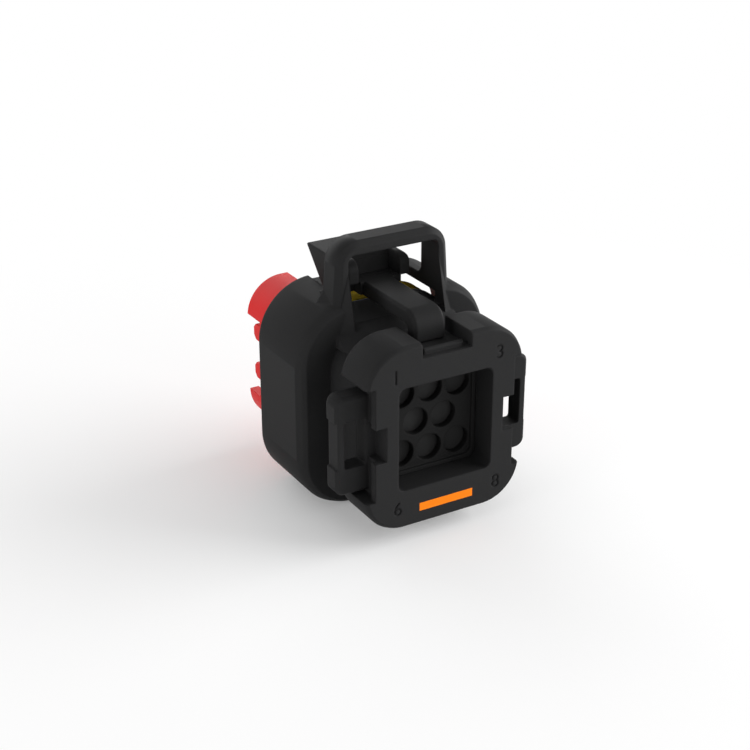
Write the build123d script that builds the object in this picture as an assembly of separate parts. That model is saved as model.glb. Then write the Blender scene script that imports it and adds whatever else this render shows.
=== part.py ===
from build123d import *
import os

# Sealed eight-way wire-harness plug. All sizes are in millimetres.
# The plug is drawn about its own axis: X across, Y from the wire side back to the
# mating side, Z up, with y = 0 on the wire-side face and z = 0 on the middle row.

# Contact layout: three rows of cavities, seen from the wire side
pitch = 5.5
row_counts = (3, 2, 3)
pin_slot_width = 3.0
pin_slot_height = 1.1

# Wire-side flange and the window in it
flange_width = 30.8
flange_height = 33.2
flange_corner = 7.4
flange_depth = 8.3
flange_edge = 0.9
band_share = 0.6
window_width = 18.3
window_height = 18.9
window_corner = 1.3
window_depth = 5.3

# Openings in the sides of the flange, beside the two loops
side_cut_top = 10.4
side_cut_bottom = -10.2
side_plate_width = 27.2
side_plate = 1.4
deep_cut_width = 22.9
deep_cut_top = 3.2
deep_cut_bottom = -3.1

# Neck between the flange and the hood
neck_width = 25.6
neck_height = 28.0
neck_corner = 7.5

# Notch in the top of the flange, where the latch is rooted
notch_width = 9.54
rib_place = 1.66
rib_size = 0.9
rib_width = 7.5
rib_height = 1.0
rib_round = 0.4

# Loops on both sides of the flange, which take a snap-on cover
loop_reach = 18.9
loop_front = 3.6
loop_depth = 3.2
loop_top = 8.4
loop_bottom = -9.5
loop_corner = 1.6
loop_edge = 0.5
loop_window_inner = 13.3
loop_window_outer = 17.4
loop_window_top = 4.0
loop_window_bottom = -4.6
loop_window_corner = 0.5
loop_recess = 0.35

# Hood round the mating side
hood_width = 37.4
hood_height = 38.35
hood_drop = 0.425
hood_foot_flat = 0.25
hood_corner = 10.4
hood_front = 16.2
hood_length = 15.3
hood_wall = 1.8
hood_front_wall = 1.8
hood_front_edge = 2.0

# Guard arch over the latch
guard_inner_width = 17.7
guard_width_top = 21.2
guard_width_root = 23.6
guard_front = 17.0
guard_rear = 22.6
guard_top = 29.0
guard_bar = 2.2
guard_outer_corner = 4.2
guard_inner_corner = 1.3
guard_edge = 1.0
guard_foot_top = 23.8
guard_foot_reach = 3.15
guard_root = 11.4
guard_flare_start = 11.1
guard_flare_end = 12.7
guard_flare_top = 20.0
guard_flare_bottom = 17.7
guard_heel = 1.5
flare_front_share = 0.25
sill_front = 12.0

# Core inside the hood, with the seat for the interface seal
core_width = 28.5
core_height = 28.4
core_corner = 6.9
core_base_step = 0.85
core_base_end = 25.0
seal_seat_depth = 1.0
seal_seat_length = 6.0
seat_ridge = 0.8
lock_wall = 1.35
tower_end = 36.4

# Chamber behind the window, for the wire seal and its retainer
chamber_depth = 12.9
insert_clearance = 0.1
retainer_thickness = 1.3
retainer_hole = 4.9
retainer_rim = 0.9
retainer_rim_height = 0.5
wire_seal_gap = 0.05
wire_seal_length = 6.1

# Interface seal on the core
seal_clearance = 0.1
seal_body = 1.15
seal_rib = 0.55
seal_rib_count = 3
seal_rib_slope = 45
seal_rib_root = 0.2

# Contact lock over the end of the core
lock_front = 33.6
lock_face = 40.2
lock_plate = 2.0
lock_end = 45.2
lock_travel = 1.6
lock_clearance = 0.2
lock_wall_side_top = 7.75
lock_wall_side_bottom = -7.3
lock_wall_half_top = 5.9
tab_places = (5.35, -2.25)
tab_width = 3.1
tab_end = 42.7
tab_corner = 0.8
nub_place = 0.8
nub_length = 0.8
nub_width = 3.0
nub_height = 0.8
tab_overlap = 0.4

# Latch lever: knee, arm and head
latch_gap = 0.25
latch_root_front = 5.3
latch_width = 6.1
latch_arm_top = 19.4
latch_arm_thickness = 2.3
latch_knee = 3.1
latch_knee_inner = 1.2
latch_edge = 0.5
head_width = 12.0
head_front = 21.9
head_end = 37.0
head_top = 22.65
head_cheek = 1.9
head_cheek_bottom = 19.5
head_roof = 0.8
head_roof_front = 26.0
head_pocket_corner = 1.2
head_web_front = 25.8
head_web_rear = 26.6
ear_top = 23.4
ear_round = 2.0
ear_rear = 25.4
ear_slope = 1.4
ear_corner = 1.2
tie_width = 7.1
tie_front = 22.3
plate_front = 24.6
tooth_bottom = 16.2
tooth_front = 30.8
tooth_length = 0.6
nose_land = 0.3

# How far joined shapes reach into each other
overlap = 1.0

# Values worked out from the driving sizes
flange_top = flange_height / 2
neck_top = neck_height / 2
hood_rear = hood_front + hood_length
hood_bottom = -hood_height / 2 - hood_drop
hood_top = hood_height / 2 - hood_drop
seat_end = core_base_end + seal_seat_length
axis_height = -(hood_bottom + hood_foot_flat)
mid_length = lock_end / 2
place = Pos(0, -mid_length, axis_height)


def prism(section, front, rear):
    """Carry a section, drawn in X and Z, from y = front back to y = rear."""
    return extrude(section_at(section, rear), amount=rear - front)


def section_at(section, place_y):
    """A section, drawn in X and Z, standing at y = place_y."""
    return Plane(origin=(0, place_y, 0), x_dir=(1, 0, 0), z_dir=(0, -1, 0)) * section


def side_prism(section, width, middle=0):
    """Carry a section, drawn in Y and Z, across a width about x = middle."""
    plane = Plane(origin=(middle - width / 2, 0, 0), x_dir=(0, 1, 0), z_dir=(1, 0, 0))
    return extrude(plane * section, amount=width)


def block(x_low, x_high, y_low, y_high, z_low, z_high):
    """Plain box between two corners."""
    centre = Pos((x_low + x_high) / 2, (y_low + y_high) / 2, (z_low + z_high) / 2)
    return centre * Box(x_high - x_low, y_high - y_low, z_high - z_low)


def rounded(width, height, corner, drop=0):
    """Rounded rectangle about the axis, lowered by drop."""
    return Pos(0, -drop) * RectangleRounded(width, height, corner)


def core_section(step=0):
    """Section of the core, grown by step on every side."""
    return rounded(core_width + 2 * step, core_height + 2 * step, core_corner + step)


def cavity_places():
    """Centres of the cavities, row by row from the top left."""
    places = []
    for row, count in enumerate(row_counts):
        for column in range(count):
            places.append(((column - (count - 1) / 2) * pitch, (1 - row) * pitch))
    return places


def holes(diameter, front, rear):
    """One round hole at each cavity."""
    discs = Sketch() + [Pos(x, z) * Circle(diameter / 2) for x, z in cavity_places()]
    return prism(discs, front, rear)


def slots(width, height, front, rear):
    """One oblong opening at each cavity."""
    oblongs = Sketch() + [Pos(x, z) * Rectangle(width, height) for x, z in cavity_places()]
    return prism(oblongs, front, rear)


def mirrored(half):
    """A shape and its twin on the other side of the plug."""
    return half + mirror(half, about=Plane.YZ)


def edges_at(solid, axis, position):
    """Edges whose centre lies at one place along an axis."""
    return solid.edges().filter_by_position(axis, position - 0.01, position + 0.01)


def eased(solid, front, size):
    """Round over the front rim in two flat bands."""
    first = size * band_share
    solid = chamfer(edges_at(solid, Axis.Y, front), first)
    return chamfer(edges_at(solid, Axis.Y, front + first), size - first)


def make_flange():
    flange = prism(rounded(flange_width, flange_height, flange_corner), 0, flange_depth)
    flange = eased(flange, 0, flange_edge)
    half = flange_width / 2 + 1
    side = block(side_plate_width / 2, half, -1, flange_depth + 1, side_cut_bottom, side_cut_top)
    behind = block(
        neck_width / 2, half, side_plate, flange_depth + 1, side_cut_bottom, side_cut_top
    )
    return flange - mirrored(side) - mirrored(behind)


def make_neck():
    neck = prism(rounded(neck_width, neck_height, neck_corner), side_plate, hood_front + 1)
    rise = loft(
        [
            section_at(rounded(neck_width, neck_height, neck_corner), sill_front),
            section_at(core_section(core_base_step), guard_front),
        ]
    )
    sill_half = guard_width_root / 2
    return neck + rise.intersect(
        block(-sill_half, sill_half, sill_front, guard_front, guard_root, guard_top)
    )


def make_loops():
    outline = block(
        neck_width / 2 - 2,
        loop_reach,
        loop_front,
        loop_front + loop_depth,
        loop_bottom,
        loop_top,
    )
    corners = outline.edges().filter_by(Axis.Y).sort_by(Axis.X)[-2:]
    outline = fillet(corners, loop_corner)
    rim = outline.faces().sort_by(Axis.Y)[0].edges().sort_by(Axis.X)[1:]
    outline = chamfer(rim, loop_edge)
    window = prism(
        Pos((loop_window_inner + loop_window_outer) / 2, (loop_window_top + loop_window_bottom) / 2)
        * RectangleRounded(
            loop_window_outer - loop_window_inner,
            loop_window_top - loop_window_bottom,
            loop_window_corner,
        ),
        loop_front - 1,
        loop_front + loop_depth + 1,
    )
    recess = block(
        loop_reach - loop_recess,
        loop_reach + 1,
        loop_front - 1,
        loop_front + loop_depth + 1,
        loop_window_bottom,
        loop_window_top,
    )
    return mirrored(outline - window - recess)


def make_hood():
    """Hood, still solid inside, with its foot flat and the slot in its top."""
    shell = prism(rounded(hood_width, hood_height, hood_corner, hood_drop), hood_front, hood_rear)
    shell = eased(shell, hood_front, hood_front_edge)
    half = hood_width / 2
    shell -= block(
        -half, half, hood_front - 1, hood_rear + 1, hood_bottom - 1, hood_bottom + hood_foot_flat
    )
    slot = block(
        -guard_inner_width / 2,
        guard_inner_width / 2,
        hood_front - 1,
        hood_rear + 1,
        core_height / 2 + core_base_step,
        guard_top,
    )
    return shell - slot


def hood_hollow():
    """Space inside the hood, behind its front wall."""
    section = rounded(
        hood_width - 2 * hood_wall, hood_height - 2 * hood_wall, hood_corner - hood_wall, hood_drop
    )
    return prism(section, hood_front + hood_front_wall, hood_rear + 1)


def guard_section():
    """Arch seen from the wire side, its legs a little splayed."""
    outer = make_face(
        Polyline(
            (-guard_width_root / 2, guard_root),
            (-guard_width_top / 2, guard_top),
            (guard_width_top / 2, guard_top),
            (guard_width_root / 2, guard_root),
            close=True,
        )
    )
    outer = fillet(outer.vertices().group_by(Axis.Y)[-1], guard_outer_corner)
    inside_top = guard_top - guard_bar
    inner = Pos(0, (inside_top + guard_root) / 2) * Rectangle(
        guard_inner_width, inside_top - guard_root
    )
    inner = fillet(inner.vertices().sort_by(Axis.Y)[-2:], guard_inner_corner)
    return outer - inner


def guard_foot():
    """Wedge in front of the right leg, which carries it forward on to the neck."""
    inner = guard_inner_width / 2
    tip = (inner, guard_front, guard_foot_top)
    front = (inner, guard_front - guard_foot_reach, guard_root)
    outside = (guard_width_root / 2, hood_front, guard_root)
    behind_tip = (inner, guard_rear, guard_foot_top)
    behind = (inner, guard_rear, guard_root)
    behind_outside = (guard_width_root / 2, guard_rear, guard_root)
    faces = [
        face_through(tip, front, outside),
        face_through(tip, front, behind, behind_tip),
        face_through(front, outside, behind_outside, behind),
        face_through(tip, outside, behind_outside, behind_tip),
        face_through(behind_tip, behind_outside, behind),
    ]
    return Solid(Shell(faces))


def face_through(*corners):
    """Flat face between corners in order."""
    return Face(Wire.make_polygon(corners, close=True))


def guard_flare():
    """Spread foot of the right leg on the hood's top, dying out towards its front."""
    rear = section_at(flare_section(1), guard_rear - guard_edge)
    front = section_at(flare_section(flare_front_share), guard_front + guard_edge)
    return loft([rear, front], ruled=True)


def flare_section(share):
    """Section of the spread foot, its reach and height cut down to a share."""
    end = guard_flare_start + share * (guard_flare_end - guard_flare_start)
    top = guard_flare_bottom + share * (guard_flare_top - guard_flare_bottom)
    return make_face(
        Polyline(
            (guard_flare_start, top),
            (end, guard_flare_bottom),
            (end, guard_flare_bottom - overlap),
            (guard_flare_start - overlap, guard_flare_bottom - overlap),
            (guard_flare_start - overlap, top),
            close=True,
        )
    )


def guard_heel_piece():
    """Hollow round between the right leg's rear and the hood's top."""
    heel = TangentArc(
        (guard_rear, hood_top + guard_heel), (guard_rear + guard_heel, hood_top), tangent=(0, -1)
    )
    rest = Polyline(
        (guard_rear + guard_heel, hood_top),
        (guard_rear + guard_heel, hood_top - hood_wall),
        (guard_rear - 1, hood_top - hood_wall),
        (guard_rear - 1, hood_top + guard_heel),
        (guard_rear, hood_top + guard_heel),
    )
    width = guard_flare_start - guard_edge / 2 - guard_inner_width / 2
    middle = guard_inner_width / 2 + width / 2
    return side_prism(make_face([*heel.edges(), *rest.edges()]), width, middle)


def on_guard_rim(edge):
    """Whether an edge lies on the outer rim of the arch's front or rear."""
    middle = edge.center()
    at_end = middle.Y < guard_front + 0.01 or middle.Y > guard_rear - 0.01
    outside = (
        abs(middle.X) > guard_width_top / 2 or middle.Z > guard_top - guard_outer_corner / 2
    )
    return at_end and outside and middle.Z > neck_top


def make_guard():
    arch = prism(guard_section(), guard_front, guard_rear)
    arch = chamfer(arch.edges().filter_by(on_guard_rim), guard_edge)
    return arch + mirrored(guard_foot() + guard_flare() + guard_heel_piece())


def make_core():
    base = prism(core_section(core_base_step), hood_front, core_base_end)
    seat = prism(core_section(-seal_seat_depth), hood_front, seat_end)
    ridge = prism(core_section(), seat_end, seat_end + seat_ridge)
    tower = prism(core_section(-lock_wall), hood_front, tower_end)
    nub = block(
        core_width / 2 - lock_wall - overlap,
        core_width / 2 - lock_wall + nub_height,
        lock_front + nub_place,
        lock_front + nub_place + nub_length,
        -nub_width / 2,
        nub_width / 2,
    )
    return base + seat + ridge + tower + mirrored(nub) + make_key()


def make_key():
    """Guide on top of the core, flush with the contact lock's outside and end."""
    half = lock_wall_half_top - lock_clearance
    bottom = core_height / 2 - lock_wall
    key = block(-half, half, seat_end, lock_face, bottom, core_height / 2)
    return key + block(-half, half, seat_end, tower_end, bottom - overlap, core_height / 2)


def make_notch():
    """The space that the latch stands in, with its low rib kept."""
    notch = block(
        -notch_width / 2, notch_width / 2, -1, flange_depth + 1, neck_top, flange_top + 1
    )
    rib = block(
        -rib_width / 2,
        rib_width / 2,
        rib_place - rib_size / 2,
        rib_place + rib_size / 2,
        neck_top - 1,
        neck_top + rib_height,
    )
    rib = fillet(rib.edges().filter_by(Axis.X).sort_by(Axis.Z)[-2:], rib_round)
    return notch, rib


def make_housing():
    body = make_flange() + make_neck()
    half = flange_width / 2
    body -= mirrored(
        block(deep_cut_width / 2, half, -1, loop_front, deep_cut_bottom, deep_cut_top)
    )
    notch, rib = make_notch()
    body -= notch
    body += rib
    body += make_loops()
    body += make_hood() + make_guard()
    body -= hood_hollow()
    body += make_core()
    return body - prism(rounded(window_width, window_height, window_corner), -1, chamber_depth)


def make_seal_retainer():
    front = window_depth
    section = rounded(
        window_width - 2 * insert_clearance,
        window_height - 2 * insert_clearance,
        window_corner - insert_clearance,
    )
    dish = rounded(
        window_width - 2 * retainer_rim,
        window_height - 2 * retainer_rim,
        window_corner,
    )
    plate = prism(section, front - retainer_rim_height, front + retainer_thickness)
    plate -= prism(dish, front - 1, front)
    return plate - holes(retainer_hole, front - 1, front + retainer_thickness + 1)


def make_wire_seal():
    """Mat that fills the chamber behind the retainer."""
    front = window_depth + retainer_thickness + wire_seal_gap
    section = rounded(
        window_width - 2 * insert_clearance,
        window_height - 2 * insert_clearance,
        window_corner - insert_clearance,
    )
    return prism(section, front, front + wire_seal_length)


def make_interface_seal():
    inner = core_section(-seal_seat_depth + seal_clearance)
    front = core_base_end + seal_clearance
    rear = seat_end - seal_clearance
    ring = prism(core_section(-seal_seat_depth + seal_body), front, rear)
    length = (rear - front) / seal_rib_count
    for index in range(seal_rib_count):
        crest = core_section(-seal_seat_depth + seal_body + seal_rib)
        crest = section_at(crest, front + (index + 0.5) * length)
        ring += extrude(crest, amount=seal_rib + seal_rib_root, both=True, taper=seal_rib_slope)
    return ring - prism(inner, front - 1, rear + 1)


def make_contact_lock():
    bore = core_section(-lock_wall + lock_clearance)
    cap = prism(core_section(), lock_front, lock_face)
    cap -= prism(bore, lock_front - 1, lock_face - lock_plate)
    cap -= slots(pin_slot_width, pin_slot_height, lock_front, lock_face + 1)
    wall = core_section() - core_section(-lock_wall - tab_overlap)
    rim = prism(wall, lock_face - 1, lock_end)
    half_width = core_width / 2
    half_height = core_height / 2
    rim -= block(
        -half_width - 1, half_width + 1, lock_face, lock_end + 1,
        lock_wall_side_bottom, lock_wall_side_top,
    )
    rim -= block(
        -lock_wall_half_top, lock_wall_half_top, lock_face, lock_end + 1,
        -half_height - 1, half_height + 1,
    )
    cap += rim
    for height in tab_places:
        cap += mirrored(make_tab(height))
    key_slot = block(
        -lock_wall_half_top,
        lock_wall_half_top,
        lock_front - 1,
        lock_face + 1,
        half_height - lock_wall - lock_clearance,
        half_height + 1,
    )
    cap -= key_slot
    nub_front = lock_front + nub_place
    slot = block(
        half_width - lock_wall - overlap,
        half_width + overlap,
        nub_front - lock_clearance,
        nub_front + nub_length + lock_travel + lock_clearance,
        -nub_width / 2 - lock_clearance,
        nub_width / 2 + lock_clearance,
    )
    return cap - mirrored(slot)


def make_tab(height):
    """Small finger on the side of the lock, its end eased."""
    half_width = core_width / 2
    tab = block(
        half_width - lock_wall - tab_overlap,
        half_width,
        lock_face - 1,
        tab_end,
        height - tab_width / 2,
        height + tab_width / 2,
    )
    ends = tab.faces().sort_by(Axis.Y)[-1].edges().filter_by(Axis.X)
    return chamfer(ends, tab_corner)


def latch_arm():
    """Knee and arm as one bent strip, seen from the side."""
    foot = neck_top + latch_gap
    under = latch_arm_top - latch_arm_thickness
    root_rear = latch_root_front + latch_arm_thickness
    end = head_web_rear
    strip = Polyline(
        (latch_root_front, foot),
        (root_rear, foot),
        (root_rear, under),
        (end, under),
        (end, latch_arm_top),
        (latch_root_front, latch_arm_top),
        close=True,
    )
    face = make_face(strip)
    corner = face.vertices().group_by(Axis.X)[0].sort_by(Axis.Y)[-1]
    face = fillet(corner, latch_knee)
    inner = face.vertices().filter_by(
        lambda v: abs(v.X - root_rear) < 0.01 and abs(v.Y - under) < 0.01
    )
    face = fillet(inner, latch_knee_inner)
    arm = side_prism(face, latch_width)
    long_edges = arm.faces().sort_by(Axis.Z)[-1].edges().filter_by(Axis.Y)
    return chamfer(long_edges, latch_edge)


def latch_head():
    """Head with its two ears, the recess between them, the catch window and the nose."""
    profile = make_face(
        Polyline(
            (head_front, head_cheek_bottom),
            (tooth_front, head_cheek_bottom),
            (tooth_front, tooth_bottom),
            (tooth_front + tooth_length, tooth_bottom),
            (head_end, head_top - nose_land),
            (head_end - nose_land, head_top),
            (ear_rear + ear_slope, head_top),
            (ear_rear, ear_top),
            (head_front, ear_top),
            close=True,
        )
    )
    ear_front = profile.vertices().group_by(Axis.X)[0].sort_by(Axis.Y)[-1]
    head = side_prism(fillet(ear_front, ear_round), head_width)
    outline = Pos(0, (ear_top + tooth_bottom) / 2) * Rectangle(head_width, ear_top - tooth_bottom)
    outline = fillet(outline.vertices().sort_by(Axis.Y)[-2:], ear_corner)
    head &= prism(outline, head_front, head_end)
    inside = head_width / 2 - head_cheek
    head -= block(
        -inside, inside, head_front - 1, head_roof_front, head_cheek_bottom - 1, ear_top + 1
    )
    head -= head_pocket(inside)
    arm_bottom = latch_arm_top - latch_arm_thickness
    tie = block(
        -tie_width / 2, tie_width / 2, tie_front, head_web_rear, arm_bottom, latch_arm_top
    )
    plate = block(
        -head_width / 2, head_width / 2, plate_front, head_web_rear, arm_bottom, head_cheek_bottom
    )
    web = block(
        -inside - overlap, inside + overlap, head_web_front, head_web_rear,
        head_cheek_bottom - overlap, head_top - head_roof / 2,
    )
    return head + tie + plate + web


def head_pocket(inside):
    """Window under the head's roof, open downward, which takes the catch."""
    top = head_top - head_roof
    bottom = head_cheek_bottom - 1
    section = Pos(0, (top + bottom) / 2) * Rectangle(2 * inside, top - bottom)
    section = fillet(section.vertices().sort_by(Axis.Y)[-2:], head_pocket_corner)
    return prism(section, head_roof_front, tooth_front)


def make_latch_lever():
    return latch_arm() + latch_head()


sub_parts = {
    "housing": make_housing,
    "seal_retainer": make_seal_retainer,
    "wire_seal": make_wire_seal,
    "interface_seal": make_interface_seal,
    "contact_lock": make_contact_lock,
    "latch_lever": make_latch_lever,
}

os.makedirs("parts", exist_ok=True)
for name, make in sub_parts.items():
    solid = place * make()
    solid.label = name
    export_step(solid, f"parts/{name}.step")
    box = solid.bounding_box()
    print(name, len(solid.solids()), round(solid.volume, 1), box.min, box.max)
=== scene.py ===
import bpy
import bmesh
import math
from mathutils import Matrix, Vector


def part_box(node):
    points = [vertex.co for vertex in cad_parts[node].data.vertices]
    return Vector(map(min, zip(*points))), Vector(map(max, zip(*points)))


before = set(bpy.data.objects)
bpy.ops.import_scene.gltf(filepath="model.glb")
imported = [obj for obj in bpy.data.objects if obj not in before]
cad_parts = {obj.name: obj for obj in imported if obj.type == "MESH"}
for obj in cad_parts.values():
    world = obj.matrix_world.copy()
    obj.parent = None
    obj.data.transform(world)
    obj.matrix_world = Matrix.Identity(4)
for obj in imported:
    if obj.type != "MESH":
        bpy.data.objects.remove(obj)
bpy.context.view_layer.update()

MM = 0.001

# The camera, as worked out from the photograph
CAMERA_PLACE = Vector((-126.84, -215.57, 136.05)) * MM
CAMERA_AZIMUTH = math.radians(-30.38)
CAMERA_ELEVATION = math.radians(24.82)
CAMERA_LENS = 74.52
CAMERA_SENSOR = 36.0
CAMERA_NEAR = 0.01
CAMERA_FAR = 20.0

# Engraved cavity numbers on the wire-side face: text, X, height above the middle row
FACE_NUMBERS = (("1", -9.8, 11.8), ("3", 10.4, 12.0), ("6", -9.3, -12.5), ("8", 10.3, -12.4))
NUMBER_HEIGHT = 2.5
NUMBER_DEPTH = 0.22
CAPITAL_SHARE = 0.7
CURVE_STEPS = 4
MERGE_DISTANCE = 1e-7

# Plain printed bar under the window
BAR_CENTRE = (0.3, -13.3)
BAR_SIZE = (10.6, 1.5)
BAR_DEPTH = 0.1
BAR_COLOUR = (0.9, 0.21, 0.01)

# Height of the plug's axis over the floor
AXIS_HEIGHT = 19.35

# Clouding, spread of roughness and rounding of edges of the moulded surfaces
CLOUD_SCALE = 180.0
ROUGHNESS_SPREAD = 0.06
EDGE_SAMPLES = 6

# Pale floor: its colour, the share of plain white that the camera adds to it close to the
# plug, and the distances between which that share rises to the whole
FLOOR_PAPER = (0.95, 0.95, 0.95)
FLOOR_GLOW = 0.2
FLOOR_NEAR = 25.0
FLOOR_FAR = 140.0
FLOOR_HALF = 3.0

# Level of the room's light
ROOM_LEVEL = 0.35

# Soft lamps: name, place and size in metres, power in watts, and where they all point
LAMPS = (
    ("right_box", (0.52, -0.20, 0.22), (0.6, 0.4), 5.0),
    ("back_box", (0.0, 0.60, 0.25), (0.7, 0.5), 2.5),
    ("left_box", (-0.55, 0.0, 0.12), (0.4, 0.4), 1.2),
    ("front_box", (0.10, -0.60, 0.15), (0.4, 0.4), 0.9),
)
LAMP_TARGET = (0.0, 0.0, 0.022)


def nodes_of(material):
    return material.node_tree.nodes, material.node_tree.links


def add_node(material, kind, inputs=None, **settings):
    """A shader node with its settings and socket values."""
    nodes, links = nodes_of(material)
    node = nodes.new(kind)
    for name, value in settings.items():
        setattr(node, name, value)
    for name, value in (inputs or {}).items():
        if isinstance(value, bpy.types.NodeSocket):
            links.new(value, node.inputs[name])
        else:
            node.inputs[name].default_value = value
    return node


def ramp_node(material, factor, stops):
    """A colour ramp fed by factor."""
    node = add_node(material, "ShaderNodeValToRGB", {"Fac": factor})
    while len(node.color_ramp.elements) < len(stops):
        node.color_ramp.elements.new(0.5)
    for element, (place, colour) in zip(node.color_ramp.elements, stops):
        element.position = place
        element.color = (*colour, 1.0)
    return node


def new_material(name):
    material = bpy.data.materials.new(name)
    material.use_nodes = True
    material.node_tree.nodes.clear()
    return material


def moulded(name, base, roughness, grain, grain_depth, edge, specular, spread=0.15):
    """Moulded plastic or rubber: fine grain, slow clouding and softened edges."""
    material = new_material(name)
    place = add_node(material, "ShaderNodeTexCoord").outputs["Object"]
    fine = add_node(
        material, "ShaderNodeTexNoise", {"Vector": place, "Scale": grain, "Detail": 2.0}
    )
    cloud = add_node(
        material, "ShaderNodeTexNoise", {"Vector": place, "Scale": CLOUD_SCALE, "Detail": 3.0}
    )
    dark = tuple(c * (1 - spread) for c in base)
    light = tuple(c * (1 + spread) for c in base)
    speckle = ramp_node(material, fine.outputs["Fac"], ((0.3, dark), (0.7, light)))
    clouded = add_node(
        material,
        "ShaderNodeMix",
        {"Factor": cloud.outputs["Fac"]},
        data_type="RGBA",
        blend_type="MIX",
    )
    nodes, links = nodes_of(material)
    links.new(speckle.outputs["Color"], clouded.inputs[6])
    clouded.inputs[7].default_value = (*base, 1.0)
    rough = add_node(
        material,
        "ShaderNodeMapRange",
        {
            "Value": fine.outputs["Fac"],
            "To Min": roughness - ROUGHNESS_SPREAD,
            "To Max": roughness + ROUGHNESS_SPREAD,
        },
    )
    soft = add_node(material, "ShaderNodeBevel", {"Radius": edge * MM}, samples=EDGE_SAMPLES)
    bump = add_node(
        material,
        "ShaderNodeBump",
        {
            "Height": fine.outputs["Fac"],
            "Normal": soft.outputs["Normal"],
            "Strength": 1.0,
            "Distance": grain_depth * MM,
        },
    )
    shader = add_node(
        material,
        "ShaderNodeBsdfPrincipled",
        {
            "Base Color": clouded.outputs[2],
            "Roughness": rough.outputs["Result"],
            "Normal": bump.outputs["Normal"],
            "Specular IOR Level": specular,
        },
    )
    output = add_node(material, "ShaderNodeOutputMaterial")
    links.new(shader.outputs["BSDF"], output.inputs["Surface"])
    return material, shader, clouded.outputs[2]


def put_on(node_name, material):
    """Gives a CAD node its material."""
    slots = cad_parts[node_name].data.materials
    slots.clear()
    slots.append(material)


def black_plastic(name, base=(0.022, 0.022, 0.0224), roughness=0.5):
    return moulded(name, base, roughness, 7000.0, 0.006, 0.45, 0.03)


def add_bar(material, shader, colour):
    """A plain orange bar printed on the wire-side face of the housing."""
    nodes, links = nodes_of(material)
    place = add_node(material, "ShaderNodeTexCoord").outputs["Object"]
    split = add_node(material, "ShaderNodeSeparateXYZ", {"Vector": place})
    low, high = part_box("housing")

    def inside(value, centre, half):
        away = add_node(
            material, "ShaderNodeMath", {0: value, 1: centre}, operation="SUBTRACT"
        )
        size = add_node(material, "ShaderNodeMath", {0: away.outputs[0]}, operation="ABSOLUTE")
        return add_node(
            material, "ShaderNodeMath", {0: size.outputs[0], 1: half}, operation="LESS_THAN"
        ).outputs[0]

    across = inside(split.outputs["X"], BAR_CENTRE[0] * MM, BAR_SIZE[0] / 2 * MM)
    up = inside(
        split.outputs["Z"], (AXIS_HEIGHT + BAR_CENTRE[1]) * MM, BAR_SIZE[1] / 2 * MM
    )
    front = inside(split.outputs["Y"], low.y, BAR_DEPTH * MM)
    both = add_node(material, "ShaderNodeMath", {0: across, 1: up}, operation="MULTIPLY")
    mask = add_node(
        material, "ShaderNodeMath", {0: both.outputs[0], 1: front}, operation="MULTIPLY"
    )
    mix = add_node(
        material, "ShaderNodeMix", {"Factor": mask.outputs[0]}, data_type="RGBA"
    )
    links.new(colour, mix.inputs[6])
    mix.inputs[7].default_value = (*BAR_COLOUR, 1.0)
    links.new(mix.outputs[2], shader.inputs["Base Color"])


def dress_nodes():
    material, shader, colour = black_plastic("housing_plastic")
    add_bar(material, shader, colour)
    put_on("housing", material)
    others = (
        ("latch_lever", black_plastic("latch_plastic", (0.019, 0.019, 0.0193), 0.48)),
        ("seal_retainer", black_plastic("retainer_plastic", (0.015, 0.015, 0.015), 0.52)),
        (
            "wire_seal",
            moulded("wire_seal_rubber", (0.018, 0.018, 0.018), 0.6, 9000.0, 0.004, 0.1, 0.1),
        ),
        (
            "interface_seal",
            moulded("yellow_silicone", (0.62, 0.46, 0.03), 0.4, 5000.0, 0.004, 0.15, 0.3),
        ),
        (
            "contact_lock",
            moulded("red_plastic", (0.68, 0.018, 0.018), 0.45, 7000.0, 0.004, 0.2, 0.08, 0.06),
        ),
    )
    for node_name, (material, shader, colour) in others:
        put_on(node_name, material)


def engrave_numbers():
    """Cuts the cavity numbers into the wire-side face of the housing."""
    low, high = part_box("housing")
    cutter = bmesh.new()
    for text, across, up in FACE_NUMBERS:
        curve = bpy.data.curves.new("number_" + text, "FONT")
        curve.body = text
        curve.size = NUMBER_HEIGHT / CAPITAL_SHARE
        curve.align_x = "CENTER"
        curve.extrude = NUMBER_DEPTH
        curve.resolution_u = CURVE_STEPS
        number = bpy.data.objects.new("number_" + text, curve)
        mesh = bpy.data.meshes.new_from_object(number)
        mesh.transform(
            Matrix.Translation((across * MM, low.y, (AXIS_HEIGHT + up - NUMBER_HEIGHT / 2) * MM))
            @ Matrix.Rotation(math.radians(90), 4, "X")
            @ Matrix.Scale(MM, 4)
        )
        cutter.from_mesh(mesh)
        bpy.data.objects.remove(number)
        bpy.data.curves.remove(curve)
        bpy.data.meshes.remove(mesh)
    bmesh.ops.remove_doubles(cutter, verts=cutter.verts, dist=MERGE_DISTANCE)
    mesh = bpy.data.meshes.new("number_cutter")
    cutter.to_mesh(mesh)
    cutter.free()
    tool = bpy.data.objects.new("number_cutter", mesh)
    bpy.context.scene.collection.objects.link(tool)
    tool.hide_render = True
    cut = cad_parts["housing"].modifiers.new("cavity_numbers", "BOOLEAN")
    cut.operation = "DIFFERENCE"
    cut.solver = "EXACT"
    cut.object = tool


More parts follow.
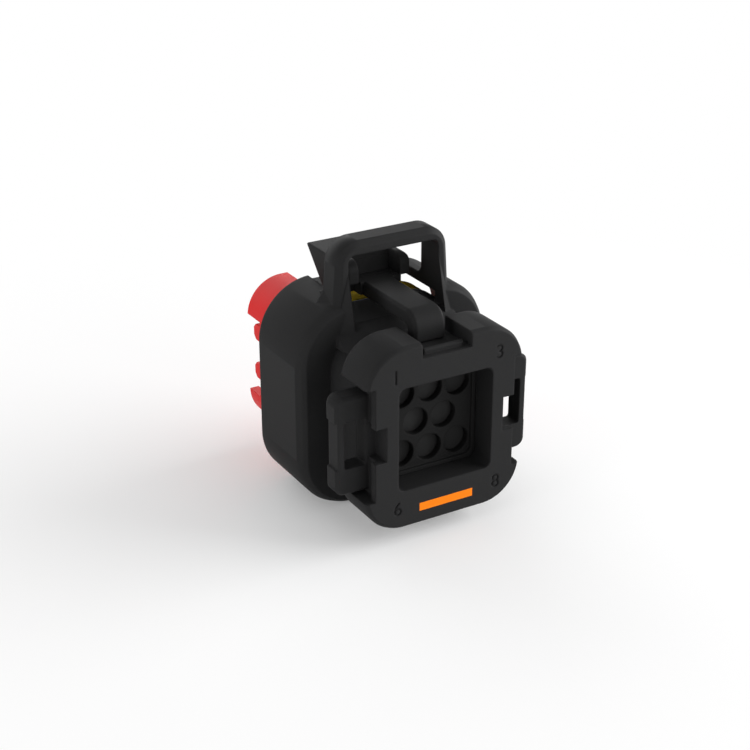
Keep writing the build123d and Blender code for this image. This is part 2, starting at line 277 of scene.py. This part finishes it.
def make_camera():
    data = bpy.data.cameras.new("camera")
    data.lens = CAMERA_LENS
    data.sensor_width = CAMERA_SENSOR
    data.clip_start = CAMERA_NEAR
    data.clip_end = CAMERA_FAR
    camera = bpy.data.objects.new("camera", data)
    bpy.context.scene.collection.objects.link(camera)
    a, e = CAMERA_AZIMUTH, CAMERA_ELEVATION
    back = Vector((math.sin(a) * math.cos(e), -math.cos(a) * math.cos(e), math.sin(e)))
    right = Vector((math.cos(a), math.sin(a), 0.0))
    up = back.cross(right)
    turn = Matrix((right, up, back)).transposed().to_4x4()
    camera.matrix_world = Matrix.Translation(CAMERA_PLACE) @ turn
    bpy.context.scene.camera = camera


def make_floor():
    """A plain white floor that keeps the soft shadow and shows white to the camera."""
    mesh = bpy.data.meshes.new("floor")
    half = FLOOR_HALF
    corners = [(-half, -half, 0), (half, -half, 0), (half, half, 0), (-half, half, 0)]
    mesh.from_pydata(corners, [], [(0, 1, 2, 3)])
    floor = bpy.data.objects.new("floor", mesh)
    bpy.context.scene.collection.objects.link(floor)
    material = new_material("floor_paper")
    nodes, links = nodes_of(material)
    path = add_node(material, "ShaderNodeLightPath")
    paper = add_node(
        material, "ShaderNodeBsdfDiffuse", {"Color": (*FLOOR_PAPER, 1.0)}
    )
    glow = add_node(
        material, "ShaderNodeEmission", {"Color": (1.0, 1.0, 1.0, 1.0), "Strength": 1.0}
    )
    seen = add_node(
        material,
        "ShaderNodeMath",
        {0: path.outputs["Is Camera Ray"], 1: path.outputs["Is Glossy Ray"]},
        operation="MAXIMUM",
    )
    seen = add_node(
        material,
        "ShaderNodeMath",
        {0: seen.outputs[0], 1: path.outputs["Is Transmission Ray"]},
        operation="MAXIMUM",
    )
    place = add_node(material, "ShaderNodeTexCoord").outputs["Object"]
    away = add_node(material, "ShaderNodeVectorMath", {0: place}, operation="LENGTH")
    fade = add_node(
        material,
        "ShaderNodeMapRange",
        {
            "Value": away.outputs["Value"],
            "From Min": FLOOR_NEAR * MM,
            "From Max": FLOOR_FAR * MM,
            "To Min": FLOOR_GLOW,
            "To Max": 1.0,
        },
    )
    share = add_node(
        material,
        "ShaderNodeMath",
        {0: seen.outputs[0], 1: fade.outputs["Result"]},
        operation="MULTIPLY",
    )
    mix = add_node(material, "ShaderNodeMixShader", {0: share.outputs[0]})
    links.new(paper.outputs[0], mix.inputs[1])
    links.new(glow.outputs[0], mix.inputs[2])
    output = add_node(material, "ShaderNodeOutputMaterial")
    links.new(mix.outputs[0], output.inputs["Surface"])
    mesh.materials.append(material)


def make_world():
    world = bpy.data.worlds.new("studio")
    bpy.context.scene.world = world
    world.use_nodes = True
    nodes, links = world.node_tree.nodes, world.node_tree.links
    nodes.clear()
    path = nodes.new("ShaderNodeLightPath")
    room = nodes.new("ShaderNodeBackground")
    room.inputs["Color"].default_value = (1.0, 1.0, 1.0, 1.0)
    room.inputs["Strength"].default_value = ROOM_LEVEL
    white = nodes.new("ShaderNodeBackground")
    white.inputs["Color"].default_value = (1.0, 1.0, 1.0, 1.0)
    white.inputs["Strength"].default_value = 1.0
    seen = nodes.new("ShaderNodeMath")
    seen.operation = "MAXIMUM"
    links.new(path.outputs["Is Camera Ray"], seen.inputs[0])
    links.new(path.outputs["Is Glossy Ray"], seen.inputs[1])
    shown = nodes.new("ShaderNodeMath")
    shown.operation = "MAXIMUM"
    links.new(seen.outputs[0], shown.inputs[0])
    links.new(path.outputs["Is Transmission Ray"], shown.inputs[1])
    mix = nodes.new("ShaderNodeMixShader")
    output = nodes.new("ShaderNodeOutputWorld")
    links.new(shown.outputs[0], mix.inputs[0])
    links.new(room.outputs[0], mix.inputs[1])
    links.new(white.outputs[0], mix.inputs[2])
    links.new(mix.outputs[0], output.inputs["Surface"])


def make_lights():
    for name, place, size, power in LAMPS:
        data = bpy.data.lights.new(name, "AREA")
        data.shape = "RECTANGLE"
        data.size, data.size_y = size
        data.energy = power
        light = bpy.data.objects.new(name, data)
        bpy.context.scene.collection.objects.link(light)
        light.location = place
        aim = Vector(LAMP_TARGET) - Vector(place)
        light.rotation_euler = aim.to_track_quat("-Z", "Y").to_euler()


dress_nodes()
engrave_numbers()
make_camera()
make_floor()
make_world()
make_lights()
bpy.context.scene.view_settings.view_transform = "Standard"
